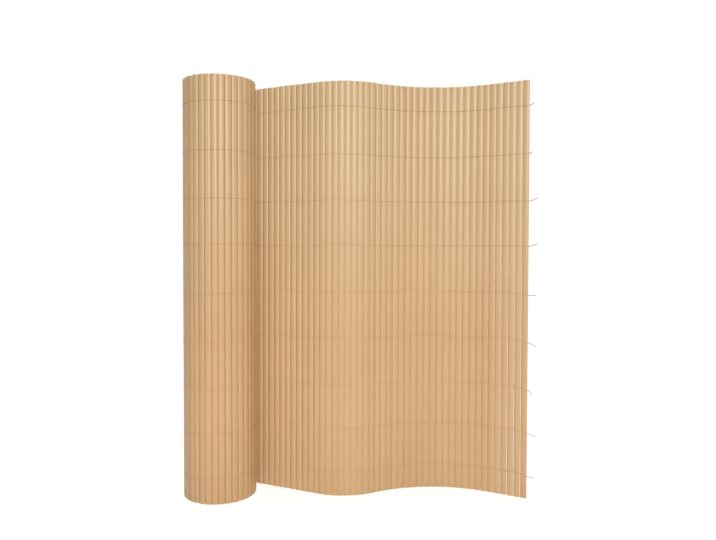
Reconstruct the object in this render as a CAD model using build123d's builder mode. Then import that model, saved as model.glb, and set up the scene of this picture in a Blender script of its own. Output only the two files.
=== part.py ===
"""PVC slat screening mat, standing on its slat ends: one end still rolled up, the other pulled out in a wave.

Frame: millimetres, +Z up along the slats, the pulled-out front faces -Y, the roll stands at the -X end and the
origin is the middle of the bounding box at floor level.
"""

import math
import os

from build123d import *

# Driving dimensions of the mat
MAT_LENGTH = 3000.0
MAT_HEIGHT = 900.0

# Slat: a flat oval PVC tube with two crowned faces and blunt edges
SLAT_WIDTH = 14.0
SLAT_GAP = 0.45
SLAT_THICKNESS = 4.4
SLAT_EDGE = 1.8
SLAT_WALL = 0.7
CROWN_SHARE = 0.4  # how much of a wound slat's width its flattened crown takes up

# Tie cords: nylon strands across all the slats, in level rows
TIE_ROWS = 9
TIE_FOOT = 50.0
TIE_HEAD = 58.0
TIE_DIAMETER = 0.9
TIE_TAIL = 14.0
TIE_CLEARANCE = 0.02

# Roll, measured on the middle line of its outermost turn
ROLL_RADIUS = 79.5
ROLL_LEAVING_ANGLE = 24.7  # where the mat leaves the roll, turned from the back (+Y) towards +X

# Pulled-out wave, from the roll to the free end
OPEN_SLATS = 47
LEAD_RUN = 200.0
CREST_RADIUS = 133.0
CREST_ANGLE = 55.6
VALLEY_RADIUS = 260.0
VALLEY_ANGLE = 58.6

# Sizes that follow from the driving dimensions
SLAT_PITCH = SLAT_WIDTH + SLAT_GAP
WOUND_SLATS = round(MAT_LENGTH / SLAT_PITCH) - OPEN_SLATS
CREST_RUN = CREST_RADIUS * math.radians(CREST_ANGLE)
VALLEY_RUN = VALLEY_RADIUS * math.radians(VALLEY_ANGLE)
END_RUN = OPEN_SLATS * SLAT_PITCH - LEAD_RUN - CREST_RUN - VALLEY_RUN
LAYER_PITCH = SLAT_THICKNESS + TIE_DIAMETER + 2 * TIE_CLEARANCE
TIE_NEAR = SLAT_THICKNESS / 2 + TIE_CLEARANCE
TIE_FAR = TIE_NEAR + TIE_DIAMETER
TIE_SPACING = (MAT_HEIGHT - TIE_FOOT - TIE_HEAD) / (TIE_ROWS - 1)
UP = Vector(0, 0, 1)


def wave(offset=0.0, tail=0.0):
    """The line of the pulled-out length, moved towards its front by offset and run past its free end by tail."""
    leaving = math.radians(ROLL_LEAVING_ANGLE)
    radius = ROLL_RADIUS - offset
    start = Vector(radius * math.sin(leaving), radius * math.cos(leaving))
    heading = Vector(math.cos(leaving), -math.sin(leaving))
    with BuildLine() as line:
        lead = Line(start, start + heading * LEAD_RUN)
        crest = JernArc(lead @ 1, lead % 1, CREST_RADIUS + offset, CREST_ANGLE)
        valley = JernArc(crest @ 1, crest % 1, VALLEY_RADIUS - offset, -VALLEY_ANGLE)
        Line(valley @ 1, valley @ 1 + (valley % 1) * (END_RUN + tail))
    return line.wire()


def roll_point(run, offset):
    """A point on the roll, at a run of mat wound in from where it leaves the roll, moved outwards by offset."""
    radius = math.sqrt(ROLL_RADIUS**2 - LAYER_PITCH * run / math.pi)
    turned = 2 * math.pi * (ROLL_RADIUS - radius) / LAYER_PITCH
    angle = math.pi / 2 - math.radians(ROLL_LEAVING_ANGLE) + turned
    return (radius + offset) * math.cos(angle), (radius + offset) * math.sin(angle)


def ridges(side):
    """The ridged face of all the wound slats, on the outer (+1) or the inner (-1) side of the roll."""
    corners = []
    for i in range(WOUND_SLATS):
        corners.append(roll_point(i * SLAT_PITCH, side * SLAT_EDGE / 2))
        corners.append(roll_point((i + 0.5 - CROWN_SHARE / 2) * SLAT_PITCH, side * SLAT_THICKNESS / 2))
        corners.append(roll_point((i + 0.5 + CROWN_SHARE / 2) * SLAT_PITCH, side * SLAT_THICKNESS / 2))
    corners.append(roll_point(WOUND_SLATS * SLAT_PITCH, side * SLAT_EDGE / 2))
    return Polyline(*corners)


middle_line = wave()
pieces = []

# Rolled slats: the wound turns are one wall, with a ridge on each side for every slat
with BuildPart() as rolled_slats:
    with BuildSketch():
        with BuildLine():
            outer = ridges(1)
            inner = ridges(-1)
            Line(outer @ 0, inner @ 0)
            Line(outer @ 1, inner @ 1)
        make_face()
    extrude(amount=MAT_HEIGHT)
rolled_slats.part.label = "rolled_slats"
pieces.append(rolled_slats.part)

# Pulled-out slats: separate tubes side by side along the wave, counted from the roll
for i in range(OPEN_SLATS):
    run = (i + 0.5) / OPEN_SLATS
    seat = Plane(origin=middle_line @ run, x_dir=middle_line % run, z_dir=UP)
    half_width, half_edge = SLAT_WIDTH / 2, SLAT_EDGE / 2
    with BuildPart() as slat:
        with BuildSketch(seat):
            with BuildLine():
                front = ThreePointArc(
                    (-half_width, -half_edge), (0, -SLAT_THICKNESS / 2), (half_width, -half_edge)
                )
                back = ThreePointArc(
                    (-half_width, half_edge), (0, SLAT_THICKNESS / 2), (half_width, half_edge)
                )
                Line(front @ 0, back @ 0)
                Line(front @ 1, back @ 1)
            tube = make_face()
            offset(tube, amount=-SLAT_WALL, mode=Mode.SUBTRACT)
        extrude(amount=MAT_HEIGHT)
    slat.part.label = f"slat_{i + 1:02d}"
    pieces.append(slat.part)

# Tie cords: one level strand per row along the crowns of the front, with a loose tail past the last slat
for row in range(TIE_ROWS):
    level = TIE_FOOT + row * TIE_SPACING - TIE_DIAMETER / 2
    with BuildPart() as tie_cord:
        with BuildSketch(Plane.XY.offset(level)):
            with BuildLine():
                near = wave(TIE_NEAR, TIE_TAIL)
                far = wave(TIE_FAR, TIE_TAIL)
                add([near, far])
                Line(near @ 0, far @ 0)
                Line(near @ 1, far @ 1)
            make_face()
        extrude(amount=TIE_DIAMETER)
    tie_cord.part.label = f"tie_cord_{row + 1}"
    pieces.append(tie_cord.part)

# The finished pieces are moved together, so that the origin is in the middle of the mat's footprint
box = Compound(pieces).bounding_box()
to_origin = Location((-box.center().X, -box.center().Y, 0))
os.makedirs("parts", exist_ok=True)
for piece in pieces:
    export_step(piece.moved(to_origin), f"parts/{piece.label}.step")
print(f"{OPEN_SLATS} slats pulled out, {WOUND_SLATS} wound in, footprint {box.size.X:.1f} x {box.size.Y:.1f}")
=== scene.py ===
"""Looks of the PVC slat screening mat: hollow slats, tie strands, bamboo-coloured PVC and a white studio.

The slats and strands follow the solids' line: a spiral roll, a lead, a crest, a valley and an end run.
"""
import math

import bpy
from mathutils import Euler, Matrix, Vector


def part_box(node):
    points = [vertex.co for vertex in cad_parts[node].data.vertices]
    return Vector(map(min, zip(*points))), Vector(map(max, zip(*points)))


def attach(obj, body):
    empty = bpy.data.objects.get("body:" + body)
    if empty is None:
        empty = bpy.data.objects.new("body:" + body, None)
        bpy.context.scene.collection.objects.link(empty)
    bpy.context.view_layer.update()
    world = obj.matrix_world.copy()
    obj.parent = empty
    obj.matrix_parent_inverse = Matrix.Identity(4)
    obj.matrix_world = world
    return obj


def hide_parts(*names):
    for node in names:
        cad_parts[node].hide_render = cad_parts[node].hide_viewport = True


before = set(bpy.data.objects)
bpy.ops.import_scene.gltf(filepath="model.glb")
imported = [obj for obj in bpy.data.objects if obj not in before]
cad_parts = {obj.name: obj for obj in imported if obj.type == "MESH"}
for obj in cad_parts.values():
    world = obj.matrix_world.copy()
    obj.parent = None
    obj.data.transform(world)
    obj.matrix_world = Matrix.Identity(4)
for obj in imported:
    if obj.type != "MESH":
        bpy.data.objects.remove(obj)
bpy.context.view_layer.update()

# Slats: metres, and radians for the turn. Uneven values are full ranges
MAT_HEIGHT = 0.9
OPEN_SLATS = 47
WOUND_SLATS = 161
SLAT_PITCH = 0.01445
SLAT_SIZES = {
    "Height": MAT_HEIGHT,
    "Width": SLAT_PITCH,  # neighbours touch
    "Thickness": 0.0046,
    "Wall": 0.0005,
    "Uneven Ends": 0.0007,
    "Uneven Turn": 0.07,
    "Tone Low": 0.45,
    "Tone High": 1.0,
    "Seed": 3,
}
WOUND_SIZES = {**SLAT_SIZES, "Uneven Turn": 0.18, "Tone Low": 0.15, "Tone High": 0.55, "Seed": 7}
WOUND_BREADTH = 0.981
OVAL_POINTS = 16
WIDTH_POWER = 0.94  # the powers shape the oval: above 1 draws it in, below 1 fills it out
CROWN_POWER = 1.6
CRISP_ANGLE = 1.2  # edges that bend more than this, in radians, stay sharp

# Free end: its last slats are a little narrower, and fan out towards the floor
END_BREADTHS = [0.993] * 5 + [0.969] * 4
FAN_SLATS = 5
FAN_STEP = 0.0003

# Line of the mat
LAYER_PITCH = 0.00534
ROLL_RADIUS = 0.0795
LEAVING_ANGLE = math.radians(24.7)
LEAD_RUN = 0.2
CREST_RADIUS = 0.133
CREST_RUN = CREST_RADIUS * math.radians(55.6)
VALLEY_RADIUS = 0.26
VALLEY_RUN = VALLEY_RADIUS * math.radians(58.6)
END_RUN = 1.0  # longer than what is left of the mat

# Tie rows, lowest first: level, droop at the free end, length and rise of the loose end
TIE_ROWS = (
    (0.0533, 0.005, 0.0165, -0.0017),
    (0.148, 0.006, 0.021, -0.0065),
    (0.2425, 0.006, 0.0115, -0.0095),
    (0.3445, 0.006, 0.0195, -0.0088),
    (0.445, 0.0045, 0.017, 0.0),
    (0.5472, 0.002, 0.0185, 0.0055),
    (0.644, 0.002, 0.0185, 0.007),
    (0.7437, 0.0005, 0.0068, 0.0042),
    (0.8463, 0.0, 0.0095, 0.0048),
)
DROOP_SLATS = 3
STRAND_RADIUS = 0.00042
STRAND_SIZES = {
    "Level": 0.0,
    "Radius": STRAND_RADIUS,
    "Crown": SLAT_SIZES["Thickness"] / 2 + STRAND_RADIUS * 0.8,  # pressed a little into the crown
    "Valley": STRAND_RADIUS * 1.5,  # the two strands of a pair stay apart between the slats
    "Wander": 0.004,
    "End Droop": 0.0,
}
STRAND_STEPS = 8  # points per slat
STRAND_SIDES = 5
HUG_POWER = 0.8  # how closely a strand follows the crown of a slat
WANDER_SCALE = 9.0
OUTER_TURN = 36  # slats of the outermost and the innermost turn, where strands are in sight
INNER_TURN = 23
SHOWN_SPANS = ((-OUTER_TURN, OPEN_SLATS), (-WOUND_SLATS, INNER_TURN - WOUND_SLATS))  # wound ones below zero
END_RADIUS = STRAND_RADIUS * 1.45  # a loose end is both strands of a pair together
END_SHARES = (-0.25, 0.25, 0.65, 1)  # its points, as shares of its length past the last slat
END_CURL = 1.6  # above 1 it bends more towards its tip

# Colours, each at its place on a ramp: the body's over shares of the height, the others over random values
WHITE = (1.0, 1.0, 1.0)
# The body's ramp is bamboo PVC with painted light and shade: darker low in the middle, yellower towards the
# top
BODY_TONES_AND_PAINTED_LIGHT = (
    (0.09, (0.646, 0.428, 0.221)),
    (0.4, (0.62, 0.406, 0.209)),
    (0.62, (0.628, 0.436, 0.231)),
    (0.88, (0.632, 0.447, 0.243)),
)
SLAT_TONES = ((0.0, (0.97, 0.87, 0.81)), (1.0, WHITE))
LINE_TONES = ((0.3, (0.94, 0.93, 0.92)), (0.7, WHITE))
CLOUD_TONES = ((0.35, (0.96, 0.95, 0.93)), (0.65, WHITE))
TIE_TONES = ((0.3, (0.41, 0.245, 0.12)), (0.7, (0.51, 0.325, 0.17)))
TIE_FOOT_TONE = (0.545, 0.345, 0.172)
TIE_FOOT_RANGE = {"From Min": 0.25, "From Max": 0.65}  # heights over which the foot's tone fades out
END_TONES = ((0.3, (0.085, 0.083, 0.083)), (0.7, (0.14, 0.135, 0.132)))

# Studio: floor, sky, soft boxes and the camera
FLOOR_HALF = 30.0
FLOOR_GREY = (0.6, 0.6, 0.6)
FLOOR_GLOW = {"From Min": 0.6, "From Max": 1.8, "To Min": 0.7, "To Max": 1.0}  # whiter away from the mat
SKY_LIGHT = 0.05
SOFT_BOXES = (  # name, place, target, size, power in watts, spread in degrees, whether it gives a sheen
    ("front_key", (0.25, -2.6, 1.35), (0, 0, 0.6), (0.5, 0.5), 51, 180, True),
    ("floor_fill", (-0.05, -0.95, 0.04), (0, 0, 0.12), (1.5, 0.3), 4.9, 180, False),
    ("back_key", (-0.3, 2.6, 1.4), (0, 0, 0.5), (0.8, 0.8), 6.5, 60, True),
    ("roll_side", (-2.3, 1.4, 1.2), (-0.3, 0, 0.5), (0.8, 0.8), 2.5, 60, False),
    ("top_fill", (0, 0.25, 2.6), (0, 0.1, 0.9), (1.0, 0.5), 15, 180, True),
)
SENSOR_WIDTH = 36
PICTURE_WIDTH = 716
FOCAL_PIXELS = 648.98
CAMERA_PLACE = (0.30242, -1.42921, 0.52988)  # seen from the foot of the roll's axis
CAMERA_TURN = (90 - 1.489, -0.179, 0)  # degrees: level, but for a slight pitch and roll


def wave_seat(run):
    """Place and heading of the pulled-out mat, from the roll's axis, at a run past where it leaves it."""
    place = Vector((math.sin(LEAVING_ANGLE), math.cos(LEAVING_ANGLE), 0)) * ROLL_RADIUS
    heading = -LEAVING_ANGLE
    stretches = ((LEAD_RUN, 0), (CREST_RUN, 1 / CREST_RADIUS), (VALLEY_RUN, -1 / VALLEY_RADIUS), (END_RUN, 0))
    for length, bend in stretches:
        step = min(run, length)
        turned = heading + step * bend
        if bend:
            chord = (math.sin(turned) - math.sin(heading), math.cos(heading) - math.cos(turned), 0)
            place += Vector(chord) / bend
        else:
            place += Vector((math.cos(heading), math.sin(heading), 0)) * step
        heading = turned
        run -= step
        if run <= 0:
            break
    return place, heading


def wound_seat(run):
    """Place and heading of the wound mat, from the roll's axis, at a run wound in from where it leaves it."""
    radius = math.sqrt(ROLL_RADIUS**2 - LAYER_PITCH * run / math.pi)
    angle = math.pi / 2 - LEAVING_ANGLE + 2 * math.pi * (ROLL_RADIUS - radius) / LAYER_PITCH
    return Vector((math.cos(angle), math.sin(angle), 0)) * radius, angle - math.pi / 2


first_low, first_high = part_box("slat_01")
roll_axis = (first_low + first_high) / 2 - wave_seat(SLAT_PITCH / 2)[0]
roll_axis.z = 0


def seat(run):
    """Place and heading anywhere along the mat: runs below zero are wound in."""
    place, heading = wave_seat(run) if run >= 0 else wound_seat(-run)
    return roll_axis + place, heading


# Building blocks for node trees and objects


def live(sockets, name=None):
    """The socket in use, of those that share a name."""
    return next(s for s in sockets if s.enabled and name in (None, s.name))


def add_node(tree, kind, inputs=None, **settings):
    """A node with its settings and its inputs, by position or name: each a value or the socket it is from."""
    node = tree.nodes.new(kind)
    for name, value in settings.items():
        setattr(node, name, value)
    for key, value in (inputs or {}).items():
        socket = live(node.inputs, key) if isinstance(key, str) else node.inputs[key]
        if isinstance(value, bpy.types.NodeSocket):
            tree.links.new(value, socket)
        else:
            socket.default_value = value
    return node


def math_node(tree, operation, *operands):
    """One step of arithmetic: each operand is a number or the socket that it comes from."""
    return add_node(tree, "ShaderNodeMath", operation=operation, inputs=dict(enumerate(operands))).outputs[0]


def vector_node(tree, x=0.0, y=0.0, z=0.0):
    """A vector of three numbers or sockets."""
    return add_node(tree, "ShaderNodeCombineXYZ", inputs={0: x, 1: y, 2: z}).outputs[0]


def object_height(tree):
    """Height above the floor, in a material."""
    place = add_node(tree, "ShaderNodeTexCoord").outputs["Object"]
    return add_node(tree, "ShaderNodeSeparateXYZ", inputs={0: place}).outputs["Z"]


def stored(tree, name, kind="FLOAT"):
    """A value that was stored on the points of a mesh."""
    node = add_node(tree, "GeometryNodeInputNamedAttribute", data_type=kind, inputs={"Name": name})
    return live(node.outputs)


def chance(tree, seed, draw, low=0.0, high=1.0):
    """A random number for each point or instance: the draw tells one set of numbers from another."""
    inputs = {
        "Min": low,
        "Max": high,
        "ID": add_node(tree, "GeometryNodeInputIndex").outputs[0],
        "Seed": math_node(tree, "ADD", seed, draw),
    }
    return live(add_node(tree, "FunctionNodeRandomValue", data_type="FLOAT", inputs=inputs).outputs)


def new_tree(name, sizes):
    """An empty Geometry Nodes tree with a named input for each size, a material and a result."""
    tree = bpy.data.node_groups.new(name, "GeometryNodeTree")
    tree.interface.new_socket("Seats", in_out="INPUT", socket_type="NodeSocketGeometry")
    for label, value in sizes.items():
        kind = "NodeSocketInt" if isinstance(value, int) else "NodeSocketFloat"
        tree.interface.new_socket(label, in_out="INPUT", socket_type=kind)
    tree.interface.new_socket("Finish", in_out="INPUT", socket_type="NodeSocketMaterial")
    tree.interface.new_socket("Piece", in_out="OUTPUT", socket_type="NodeSocketGeometry")
    return tree, tree.nodes.new("NodeGroupInput").outputs, tree.nodes.new("NodeGroupOutput").inputs


def dress(tree, piece, given, result):
    """Gives a tree's piece its material, as the tree's result."""
    inputs = {"Geometry": piece, "Material": given["Finish"]}
    tree.links.new(add_node(tree, "GeometryNodeSetMaterial", inputs=inputs).outputs[0], result["Piece"])


def add_object(name, data):
    """An object in the scene."""
    thing = bpy.data.objects.new(name, data)
    bpy.context.scene.collection.objects.link(thing)
    return thing


def grow(name, base, tree, sizes, finish):
    """Runs a tree over a base mesh and keeps the result as a plain mesh object."""
    seats = add_object(name + "_seats", base)
    modifier = seats.modifiers.new("grow", "NODES")
    modifier.node_group = tree
    values = dict(sizes, Finish=finish)
    for item in tree.interface.items_tree:
        if item.in_out == "INPUT" and item.name in values:
            modifier[item.identifier] = values[item.name]
    bpy.context.view_layer.update()
    graph = bpy.context.evaluated_depsgraph_get()
    mesh = bpy.data.meshes.new_from_object(seats.evaluated_get(graph), depsgraph=graph)
    seats.modifiers.remove(modifier)
    bpy.data.objects.remove(seats)
    mesh.name = name
    return add_object(name, mesh)


def store(mesh, name, kind, values):
    """A named value on each point of a mesh."""
    layer = mesh.attributes.new(name, kind, "POINT")
    for item, value in zip(layer.data, values):
        if kind == "FLOAT":
            item.value = value
        else:
            item.vector = value


# Finishes, with a shared group for uneven tone and fine lines that run along a piece


def uneven_tone_group():
    """Soft cloudy tone and fine drawn lines, stretched along Z, as a colour factor and a height."""
    group = bpy.data.node_groups.new("uneven_tone", "ShaderNodeTree")
    for label in ("Cloud Scale", "Line Scale", "Line Stretch"):
        group.interface.new_socket(label, in_out="INPUT", socket_type="NodeSocketFloat")
    for label in ("Tone", "Lines"):
        group.interface.new_socket(label, in_out="OUTPUT", socket_type="NodeSocketFloat")
    given = group.nodes.new("NodeGroupInput").outputs
    result = group.nodes.new("NodeGroupOutput").inputs
    place = add_node(group, "ShaderNodeTexCoord").outputs["Object"]
    cloud_inputs = {"Vector": place, "Scale": given["Cloud Scale"], "Detail": 3.0, "Roughness": 0.55}
    cloud = add_node(group, "ShaderNodeTexNoise", inputs=cloud_inputs)
    stretch = vector_node(group, 1.0, 1.0, given["Line Stretch"])
    drawn = add_node(group, "ShaderNodeVectorMath", operation="MULTIPLY", inputs={0: place, 1: stretch})
    line_inputs = {"Vector": drawn.outputs[0], "Scale": given["Line Scale"], "Detail": 2.0, "Roughness": 0.6}
    lines = add_node(group, "ShaderNodeTexNoise", inputs=line_inputs)
    group.links.new(cloud.outputs["Fac"], result["Tone"])
    group.links.new(lines.outputs["Fac"], result["Lines"])
    return group


UNEVEN_TONE = uneven_tone_group()


def uneven_tone(tree, cloud, line, stretch):
    """The shared group in a material, with the material's own scales."""
    scales = {"Cloud Scale": cloud, "Line Scale": line, "Line Stretch": stretch}
    return add_node(tree, "ShaderNodeGroup", node_tree=UNEVEN_TONE, inputs=scales).outputs


def blank_finish(name):
    """A material with its node tree and its shader."""
    finish = bpy.data.materials.new(name)
    finish.use_nodes = True
    return finish, finish.node_tree, finish.node_tree.nodes["Principled BSDF"]


def tone_ramp(tree, value, stops):
    """A ramp of colours over a value, from the lowest stop to the highest."""
    ramp = add_node(tree, "ShaderNodeValToRGB", inputs={"Fac": value})
    elements = ramp.color_ramp.elements
    elements[0].position, elements[1].position = stops[0][0], stops[-1][0]
    for place, _ in stops[1:-1]:
        elements.new(place)
    for element, (_, colour) in zip(elements, stops):
        element.color = (*colour, 1)
    return ramp.outputs["Color"]


def blend_colours(tree, kind, amount, first, second):
    """Two colours blended by an amount."""
    inputs = {"Factor": amount, "A": first, "B": second}
    return live(add_node(tree, "ShaderNodeMix", data_type="RGBA", blend_type=kind, inputs=inputs).outputs)


def add_bump(tree, shader, height, strength, distance):
    """Fine relief on a shader."""
    inputs = {"Strength": strength, "Distance": distance, "Height": height}
    bump = add_node(tree, "ShaderNodeBump", inputs=inputs)
    tree.links.new(bump.outputs["Normal"], shader.inputs["Normal"])


def bamboo_pvc():
    """Satin PVC in a bamboo colour, with painted light and shade by height that makes it yellower towards the
    top: each slat has its own tone and drawn lines.
    """
    finish, tree, shader = blank_finish("bamboo_pvc")
    uneven = uneven_tone(tree, cloud=5.0, line=900.0, stretch=0.004)
    # painted light and shade: the height ramp holds the PVC's colour with painted light and shade over the
    # height
    colour = tone_ramp(tree, math_node(tree, "DIVIDE", object_height(tree), MAT_HEIGHT), BODY_TONES_AND_PAINTED_LIGHT)
    slat_tone = add_node(tree, "ShaderNodeAttribute", attribute_name="slat_tone").outputs["Fac"]
    layers = (
        (1.0, slat_tone, SLAT_TONES),
        (0.7, uneven["Lines"], LINE_TONES),
        (0.8, uneven["Tone"], CLOUD_TONES),
    )
    for amount, value, tones in layers:
        colour = blend_colours(tree, "MULTIPLY", amount, colour, tone_ramp(tree, value, tones))
    tree.links.new(colour, shader.inputs["Base Color"])
    rough_inputs = {"Value": uneven["Lines"], "To Min": 0.36, "To Max": 0.46}
    rough = add_node(tree, "ShaderNodeMapRange", inputs=rough_inputs)
    tree.links.new(rough.outputs["Result"], shader.inputs["Roughness"])
    add_bump(tree, shader, uneven["Lines"], strength=0.12, distance=0.0002)
    shader.inputs["Specular IOR Level"].default_value = 0.46
    return finish


def nylon(name, tones, foot_tone=None):
    """Nylon strand, lighter and darker along its length, with a tone for the lowest rows if one is given."""
    finish, tree, shader = blank_finish(name)
    uneven = uneven_tone(tree, cloud=300.0, line=2500.0, stretch=1.0)
    colour = tone_ramp(tree, uneven["Tone"], tones)
    if foot_tone:
        height = add_node(tree, "ShaderNodeMapRange", inputs={"Value": object_height(tree), **TIE_FOOT_RANGE})
        colour = blend_colours(tree, "MIX", height.outputs["Result"], (*foot_tone, 1), colour)
    tree.links.new(colour, shader.inputs["Base Color"])
    add_bump(tree, shader, uneven["Lines"], strength=0.3, distance=0.0001)
    shader.inputs["Roughness"].default_value = 0.7
    shader.inputs["Specular IOR Level"].default_value = 0.15
    return finish


BAMBOO_PVC = bamboo_pvc()
NYLON_TIE = nylon("nylon_tie", TIE_TONES, TIE_FOOT_TONE)
NYLON_END = nylon("nylon_end", END_TONES)

# Slats: one hollow oval tube, set at every seat along the mat


def hollow_oval(tree, given):
    """One flat oval tube with a real wall, upright on the floor."""
    circle_inputs = {"Resolution": OVAL_POINTS, "Radius": 1.0}
    circle = add_node(tree, "GeometryNodeCurvePrimitiveCircle", mode="RADIUS", inputs=circle_inputs)
    position = add_node(tree, "GeometryNodeInputPosition").outputs[0]
    spot = add_node(tree, "ShaderNodeSeparateXYZ", inputs={0: position}).outputs
    sides = []
    for axis, size, power in ((0, "Width", WIDTH_POWER), (1, "Thickness", CROWN_POWER)):
        reach = math_node(tree, "POWER", math_node(tree, "ABSOLUTE", spot[axis]), power)
        side = math_node(tree, "MULTIPLY", reach, math_node(tree, "SIGN", spot[axis]))
        half = math_node(tree, "MULTIPLY", math_node(tree, "SUBTRACT", given[size], given["Wall"]), 0.5)
        sides.append(math_node(tree, "MULTIPLY", side, half))
    outline_inputs = {"Geometry": circle.outputs[0], "Position": vector_node(tree, *sides)}
    outline = add_node(tree, "GeometryNodeSetPosition", inputs=outline_inputs)
    upright = add_node(tree, "GeometryNodeSetCurveNormal", mode="Z_UP", inputs={"Curve": outline.outputs[0]})
    wall_inputs = {"Width": given["Wall"], "Height": given["Height"]}
    wall = add_node(tree, "GeometryNodeCurvePrimitiveQuadrilateral", mode="RECTANGLE", inputs=wall_inputs)
    tube_inputs = {"Curve": upright.outputs[0], "Profile Curve": wall.outputs[0]}
    tube = add_node(tree, "GeometryNodeCurveToMesh", inputs=tube_inputs)
    lift = vector_node(tree, z=math_node(tree, "MULTIPLY", given["Height"], 0.5))
    raised_inputs = {"Geometry": tube.outputs[0], "Translation": lift}
    return add_node(tree, "GeometryNodeTransform", inputs=raised_inputs).outputs[0]


def slat_tree():
    """A hollow oval at each seat, turned to its heading, with its own tone, uneven turn and end height."""
    tree, given, result = new_tree("slat_row", SLAT_SIZES)
    swing = math_node(tree, "SUBTRACT", chance(tree, given["Seed"], draw=2), 0.5)
    swing = math_node(tree, "MULTIPLY", swing, given["Uneven Turn"])
    turn = vector_node(tree, y=stored(tree, "lean"), z=math_node(tree, "ADD", stored(tree, "heading"), swing))
    placed_inputs = {
        "Points": given["Seats"],
        "Instance": hollow_oval(tree, given),
        "Rotation": add_node(tree, "FunctionNodeEulerToRotation", inputs={0: turn}).outputs[0],
        "Scale": vector_node(tree, stored(tree, "breadth"), 1.0, 1.0),
    }
    placed = add_node(tree, "GeometryNodeInstanceOnPoints", inputs=placed_inputs)
    tone = chance(tree, given["Seed"], draw=0, low=given["Tone Low"], high=given["Tone High"])
    toned_inputs = {"Geometry": placed.outputs[0], "Name": "slat_tone", "Value": tone}
    toned = add_node(
        tree, "GeometryNodeStoreNamedAttribute", data_type="FLOAT", domain="INSTANCE", inputs=toned_inputs
    )
    rise = math_node(tree, "MULTIPLY", chance(tree, given["Seed"], draw=1), given["Uneven Ends"])
    moved_inputs = {
        "Instances": toned.outputs[0],
        "Translation": vector_node(tree, z=rise),
        "Local Space": False,
    }
    moved = add_node(tree, "GeometryNodeTranslateInstances", inputs=moved_inputs)

    real = add_node(tree, "GeometryNodeRealizeInstances", inputs={0: moved.outputs[0]})
    smooth = add_node(tree, "GeometryNodeSetShadeSmooth", domain="FACE", inputs={"Geometry": real.outputs[0]})
    bend = add_node(tree, "GeometryNodeInputMeshEdgeAngle").outputs[0]
    crisp_inputs = {
        "Geometry": smooth.outputs[0],
        "Selection": math_node(tree, "GREATER_THAN", bend, CRISP_ANGLE),
        "Shade Smooth": False,
    }
    crisp = add_node(tree, "GeometryNodeSetShadeSmooth", domain="EDGE", inputs=crisp_inputs)
    dress(tree, crisp.outputs[0], given, result)
    return tree


def slat_seats(name, runs, leans, breadths):
    """One point for each slat, with its heading, its lean in the mat's plane and its share of full width."""
    places = [seat(run) for run in runs]
    mesh = bpy.data.meshes.new(name)
    mesh.from_pydata([place for place, _ in places], [], [])
    store(mesh, "heading", "FLOAT", [heading for _, heading in places])
    store(mesh, "lean", "FLOAT", leans)
    store(mesh, "breadth", "FLOAT", breadths)
    return mesh


slat_maker = slat_tree()
fans = [FAN_STEP * max(0, i + 1 + FAN_SLATS - OPEN_SLATS) for i in range(OPEN_SLATS)]
open_runs = [(i + 0.5) * SLAT_PITCH + fan for i, fan in enumerate(fans)]
open_leans = [-fan / MAT_HEIGHT for fan in fans]
open_breadths = [1.0] * (OPEN_SLATS - len(END_BREADTHS)) + END_BREADTHS
open_seats = slat_seats("open_seats", open_runs, open_leans, open_breadths)
wound_runs = [-(i + 0.5) * SLAT_PITCH for i in range(WOUND_SLATS)]
wound_seats = slat_seats("wound_seats", wound_runs, [0.0] * WOUND_SLATS, [WOUND_BREADTH] * WOUND_SLATS)
open_slats = grow("open_slats", open_seats, slat_maker, SLAT_SIZES, BAMBOO_PVC)
wound_slats = grow("wound_slats", wound_seats, slat_maker, WOUND_SIZES, BAMBOO_PVC)

# Tie strands: a pair in every row, one over the front and one over the back of the slats


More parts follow.
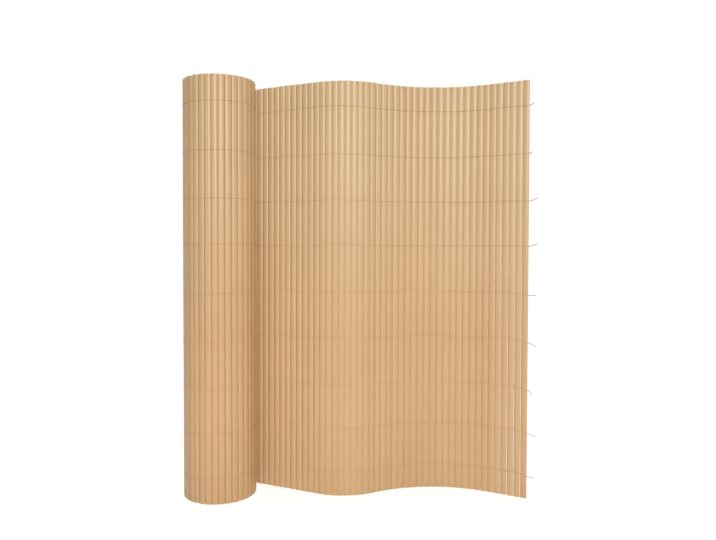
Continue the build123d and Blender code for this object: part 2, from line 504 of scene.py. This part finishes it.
def strand_tree():
    """A strand on each side that rides over the crowns and dips between the slats, at its row's level."""
    tree, given, result = new_tree("tie_rows", STRAND_SIZES)
    front = stored(tree, "front", "FLOAT_VECTOR")
    climb = math_node(tree, "SUBTRACT", given["Crown"], given["Valley"])
    reach = math_node(tree, "ADD", math_node(tree, "MULTIPLY", climb, stored(tree, "hug")), given["Valley"])
    line = add_node(tree, "GeometryNodeMeshToCurve", inputs={0: given["Seats"]})
    section_inputs = {"Resolution": STRAND_SIDES, "Radius": given["Radius"]}
    section = add_node(tree, "GeometryNodeCurvePrimitiveCircle", mode="RADIUS", inputs=section_inputs)
    pair = add_node(tree, "GeometryNodeJoinGeometry")
    for side in (1, -1):
        away_inputs = {0: front, "Scale": math_node(tree, "MULTIPLY", reach, side)}
        away = add_node(tree, "ShaderNodeVectorMath", operation="SCALE", inputs=away_inputs)
        strand_inputs = {"Geometry": line.outputs[0], "Offset": away.outputs[0]}
        strand = add_node(tree, "GeometryNodeSetPosition", inputs=strand_inputs)
        cord_inputs = {"Curve": strand.outputs[0], "Profile Curve": section.outputs[0], "Fill Caps": True}
        cord = add_node(tree, "GeometryNodeCurveToMesh", inputs=cord_inputs)
        tree.links.new(cord.outputs[0], pair.inputs[0])
    placed_inputs = {"Geometry": pair.outputs[0], "Translation": vector_node(tree, z=given["Level"])}
    placed = add_node(tree, "GeometryNodeTransform", inputs=placed_inputs)
    real = add_node(tree, "GeometryNodeRealizeInstances", inputs={0: placed.outputs[0]})

    position = add_node(tree, "GeometryNodeInputPosition").outputs[0]
    drift_inputs = {"Vector": position, "Scale": WANDER_SCALE, "Detail": 1.0}
    drift = add_node(tree, "ShaderNodeTexNoise", inputs=drift_inputs).outputs["Fac"]
    wander = math_node(tree, "MULTIPLY", math_node(tree, "SUBTRACT", drift, 0.5), given["Wander"])
    drop = math_node(tree, "MULTIPLY", stored(tree, "near_end"), given["End Droop"])
    shift = vector_node(tree, z=math_node(tree, "SUBTRACT", wander, drop))
    shifted = add_node(tree, "GeometryNodeSetPosition", inputs={"Geometry": real.outputs[0], "Offset": shift})
    smooth_inputs = {"Geometry": shifted.outputs[0]}
    smooth = add_node(tree, "GeometryNodeSetShadeSmooth", domain="FACE", inputs=smooth_inputs)
    dress(tree, smooth.outputs[0], given, result)
    return tree


def strand_line(name):
    """The mat's middle line where strands show, with its front, its ride over each slat and its near end."""
    steps = []
    edges = []
    for first, last in SHOWN_SPANS:
        edges += [(len(steps) + i, len(steps) + i + 1) for i in range((last - first) * STRAND_STEPS)]
        steps += range(first * STRAND_STEPS, last * STRAND_STEPS + 1)
    places = [seat(step * SLAT_PITCH / STRAND_STEPS) for step in steps]
    mesh = bpy.data.meshes.new(name)
    mesh.from_pydata([place for place, _ in places], edges, [])
    store(mesh, "front", "FLOAT_VECTOR", [(math.sin(h), -math.cos(h), 0) for _, h in places])
    across = [2 * ((step % STRAND_STEPS) / STRAND_STEPS) - 1 for step in steps]
    store(mesh, "hug", "FLOAT", [max(0, 1 - a * a) ** HUG_POWER for a in across])
    near_end = [1 + (step / STRAND_STEPS - OPEN_SLATS) / DROOP_SLATS for step in steps]
    store(mesh, "near_end", "FLOAT", [max(0, share) ** 2 for share in near_end])
    return mesh


strand_maker = strand_tree()
tie_rows = []
for row, (level, droop, _, _) in enumerate(TIE_ROWS):
    sizes = {**STRAND_SIZES, "Level": level, "End Droop": droop}
    line = strand_line(f"tie_line_{row + 1}")
    tie_rows.append(grow(f"tie_row_{row + 1}", line, strand_maker, sizes, NYLON_TIE))


def tie_tails():
    """The loose ends past the last slat, each with its row's own length and bend."""
    curve = bpy.data.curves.new("tie_tails", "CURVE")
    curve.dimensions = "3D"
    curve.bevel_depth = END_RADIUS
    curve.bevel_resolution = 1
    curve.use_fill_caps = True
    end, heading = seat(OPEN_SLATS * SLAT_PITCH)
    along = Vector((math.cos(heading), math.sin(heading), 0))
    for level, droop, length, rise in TIE_ROWS:
        start = end + Vector((0, 0, level - droop))
        spline = curve.splines.new("NURBS")
        spline.points.add(len(END_SHARES) - 1)
        for point, share in zip(spline.points, END_SHARES):
            place = start + along * length * share + Vector((0, 0, rise)) * max(0, share) ** END_CURL
            point.co = (*place, 1)
        spline.order_u = 3
        spline.use_endpoint_u = True
    holder = add_object("tails_curve", curve)
    bpy.context.view_layer.update()
    mesh = bpy.data.meshes.new_from_object(holder)
    bpy.data.objects.remove(holder)
    mesh.name = "loose_ends"
    mesh.materials.clear()
    mesh.materials.append(NYLON_END)
    return add_object("loose_ends", mesh)


loose_ends = tie_tails()

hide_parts(*[f"slat_{i + 1:02d}" for i in range(OPEN_SLATS)])
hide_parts("rolled_slats")
for row, piece in enumerate(tie_rows):
    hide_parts(f"tie_cord_{row + 1}")
for piece in (open_slats, wound_slats):
    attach(piece, "root")
for piece in (*tie_rows, loose_ends):
    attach(piece, "root")

# Studio: a white floor and sky, a key from the front, fills from below and above, and soft light on the back


def seen(tree):
    """1 where the camera, a reflection or glass sees the surface, 0 where the surface only gives light."""
    path = add_node(tree, "ShaderNodeLightPath").outputs
    direct = math_node(tree, "MAXIMUM", path["Is Camera Ray"], path["Is Glossy Ray"])
    return math_node(tree, "MAXIMUM", direct, path["Is Transmission Ray"])


def white_floor():
    """A wide white floor that keeps the mat's shadow."""
    mesh = bpy.data.meshes.new("floor")
    corners = [(x * FLOOR_HALF, y * FLOOR_HALF, 0) for x, y in ((-1, -1), (1, -1), (1, 1), (-1, 1))]
    mesh.from_pydata(corners, [], [(0, 1, 2, 3)])
    floor = add_object("floor", mesh)
    finish, tree, shader = blank_finish("studio_white")
    shader.inputs["Base Color"].default_value = (*FLOOR_GREY, 1)
    shader.inputs["Roughness"].default_value = 1.0
    shader.inputs["Specular IOR Level"].default_value = 0.0
    shader.inputs["Emission Color"].default_value = (*WHITE, 1)
    place = add_node(tree, "ShaderNodeTexCoord").outputs["Object"]
    away = add_node(tree, "ShaderNodeVectorMath", operation="LENGTH", inputs={0: place}).outputs["Value"]
    glow = add_node(tree, "ShaderNodeMapRange", inputs={"Value": away, **FLOOR_GLOW}).outputs["Result"]
    tree.links.new(math_node(tree, "MULTIPLY", seen(tree), glow), shader.inputs["Emission Strength"])
    mesh.materials.append(finish)


def soft_light(name, place, target, size, power, spread, sheen):
    """A soft box that looks at a target, with a grid where its spread is narrow."""
    lamp = bpy.data.lights.new(name, "AREA")
    lamp.shape = "RECTANGLE"
    lamp.size, lamp.size_y = size
    lamp.energy = power
    lamp.spread = math.radians(spread)
    holder = add_object(name, lamp)
    holder.visible_glossy = sheen
    holder.location = place
    holder.rotation_euler = (Vector(target) - Vector(place)).to_track_quat("-Z", "Y").to_euler()


def studio_sky():
    """An even pale light all round, pure white where it is seen."""
    world = bpy.data.worlds.new("studio")
    bpy.context.scene.world = world
    world.use_nodes = True
    tree = world.node_tree
    sky = tree.nodes["Background"]
    sky.inputs["Color"].default_value = (*WHITE, 1)
    level_inputs = {"Value": seen(tree), "To Min": SKY_LIGHT, "To Max": 1.0}
    level = add_node(tree, "ShaderNodeMapRange", inputs=level_inputs)
    tree.links.new(level.outputs["Result"], sky.inputs["Strength"])


white_floor()
studio_sky()
for soft_box in SOFT_BOXES:
    soft_light(*soft_box)

camera = bpy.data.cameras.new("camera")
camera.sensor_width = SENSOR_WIDTH
camera.lens = FOCAL_PIXELS / PICTURE_WIDTH * SENSOR_WIDTH
camera_holder = add_object("camera", camera)
camera_holder.location = roll_axis + Vector(CAMERA_PLACE)
camera_holder.rotation_euler = Euler([math.radians(angle) for angle in CAMERA_TURN])
bpy.context.scene.camera = camera_holder
bpy.context.scene.view_settings.view_transform = "Standard"
